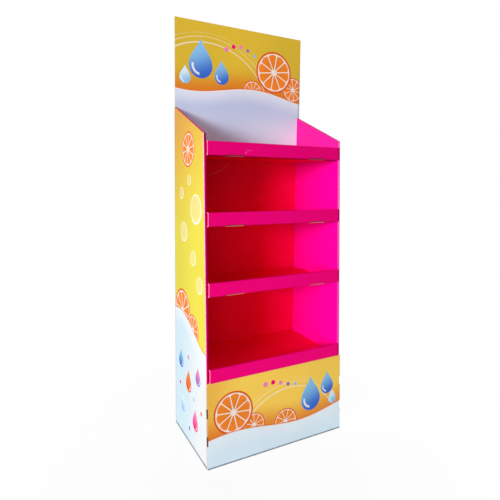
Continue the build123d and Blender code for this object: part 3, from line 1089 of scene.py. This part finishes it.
def set_camera(stage):
    """Stands the camera where the photograph was taken from."""
    yaw, pitch, roll = stage.camera_yaw, stage.camera_pitch, stage.camera_roll
    forward = Vector((
        math.sin(yaw) * math.cos(pitch), math.cos(yaw) * math.cos(pitch), math.sin(pitch),
    ))
    level = Vector((math.cos(yaw), -math.sin(yaw), 0.0))
    upright = level.cross(forward)
    right = level * math.cos(roll) + upright * math.sin(roll)
    up = upright * math.cos(roll) - level * math.sin(roll)
    bpy.ops.object.camera_add(location=stage.camera_place)
    camera = bpy.context.object
    camera.name = "photo_camera"
    turn = Matrix((right, up, -forward)).transposed()
    camera.matrix_world = Matrix.Translation(stage.camera_place) @ turn.to_4x4()
    camera.data.sensor_width = 36.0
    camera.data.lens = stage.camera_lens
    camera.data.shift_y = stage.camera_shift
    bpy.context.scene.camera = camera


def add_softbox(name, azimuth, height, distance, size, power):
    """A softbox that faces the stand from an azimuth, in degrees to the right of the front."""
    angle = math.radians(azimuth)
    place = Vector((math.sin(angle) * distance, -math.cos(angle) * distance, height))
    bpy.ops.object.light_add(type="AREA", location=place)
    lamp = bpy.context.object
    lamp.name = name + "_softbox"
    lamp.rotation_euler = (Vector(LAMP_AIM) - place).to_track_quat("-Z", "Y").to_euler()
    lamp.data.shape = "RECTANGLE"
    lamp.data.size, lamp.data.size_y = size
    lamp.data.energy = power


def seen_rays(tree):
    """1 for rays that show a surface as it is seen, straight, mirrored or through glass."""
    paths = tree.nodes.new("ShaderNodeLightPath")
    return either(*(Signal(tree, paths.outputs[label]) for label in SEEN_RAYS))


def floor_material():
    """White floor that keeps the stand's shadow close to it and runs into the white behind."""
    material, tree = new_material("studio_floor")
    tree.nodes.clear()
    x, y, _ = split(object_place(tree))
    near = fade(calc("SQRT", x * x + y * y), 1.2, 0.35) * 0.08
    seen = seen_rays(tree)
    white = tree.nodes.new("ShaderNodeEmission")
    feed(white.inputs["Color"], WHITE)
    matt = tree.nodes.new("ShaderNodeBsdfDiffuse")
    feed(matt.inputs["Color"], seen * 0.45 + 0.5)
    blend = tree.nodes.new("ShaderNodeMixShader")
    feed(blend.inputs[0], seen * (1.0 - near))
    tree.links.new(matt.outputs[0], blend.inputs[1])
    tree.links.new(white.outputs[0], blend.inputs[2])
    output = tree.nodes.new("ShaderNodeOutputMaterial")
    tree.links.new(blend.outputs[0], output.inputs["Surface"])
    return material


def set_room(strength):
    """White behind the stand, and an even light on it."""
    world = bpy.data.worlds.new("studio_room")
    world.use_nodes = True
    bpy.context.scene.world = world
    tree = world.node_tree
    background = next(node for node in tree.nodes if node.type == "BACKGROUND")
    feed(background.inputs["Color"], WHITE)
    feed(background.inputs["Strength"], seen_rays(tree) * (1.0 - strength) + strength)


class STAND_OT_stage(bpy.types.Operator):
    """Sets the floor, the softboxes, the room and the camera"""

    bl_idname = "stand.stage"
    bl_label = "Stage"
    bl_options = {"REGISTER", "UNDO"}

    def execute(self, context):
        stage = context.scene.stand_stage
        bpy.ops.object.select_all(action="DESELECT")
        bpy.ops.mesh.primitive_plane_add(size=FLOOR_SIZE, location=(0.0, 0.0, -FLOOR_DROP))
        floor = bpy.context.object
        floor.name = "floor"
        bpy.ops.object.transform_apply(location=True, rotation=True, scale=True)
        floor.data.materials.append(floor_material())
        for name, azimuth, height, distance, size in SOFTBOXES:
            power = getattr(stage, name + "_power")
            add_softbox(name, azimuth, height, distance, size, power)
        set_room(stage.room_light)
        set_camera(stage)
        context.scene.view_settings.view_transform = "Standard"
        return {"FINISHED"}


class STAND_PT_finishes(bpy.types.Panel):
    """Lists the steps that dress the stand"""

    bl_idname = "STAND_PT_finishes"
    bl_label = "Card display stand"
    bl_space_type = "VIEW_3D"
    bl_region_type = "UI"
    bl_category = "Stand"

    def draw(self, context):
        layout = self.layout
        for operator in OPERATORS:
            layout.operator(operator.bl_idname)
        for settings in (context.scene.stand_inks, context.scene.stand_board, context.scene.stand_stage):
            box = layout.box()
            for name in settings.__annotations__:
                box.prop(settings, name)


GROUPS = {"stand_inks": StandInks, "stand_board": StandBoard, "stand_stage": StandStage}
OPERATORS = (
    STAND_OT_side_walls, STAND_OT_trays, STAND_OT_back_panel, STAND_OT_base_front, STAND_OT_header,
    STAND_OT_stage,
)


def register():
    for name, group in GROUPS.items():
        bpy.utils.register_class(group)
        setattr(bpy.types.Scene, name, bpy.props.PointerProperty(type=group))
    for operator in OPERATORS:
        bpy.utils.register_class(operator)
    bpy.utils.register_class(STAND_PT_finishes)


def unregister():
    bpy.utils.unregister_class(STAND_PT_finishes)
    for operator in reversed(OPERATORS):
        bpy.utils.unregister_class(operator)
    for name, group in reversed(GROUPS.items()):
        delattr(bpy.types.Scene, name)
        bpy.utils.unregister_class(group)


def main():
    """Dresses the stand and sets the stage."""
    register()
    bpy.ops.stand.side_walls()
    bpy.ops.stand.trays()
    bpy.ops.stand.back_panel()
    bpy.ops.stand.base_front()
    bpy.ops.stand.header()
    bpy.ops.stand.stage()


if __name__ == "__main__":
    main()
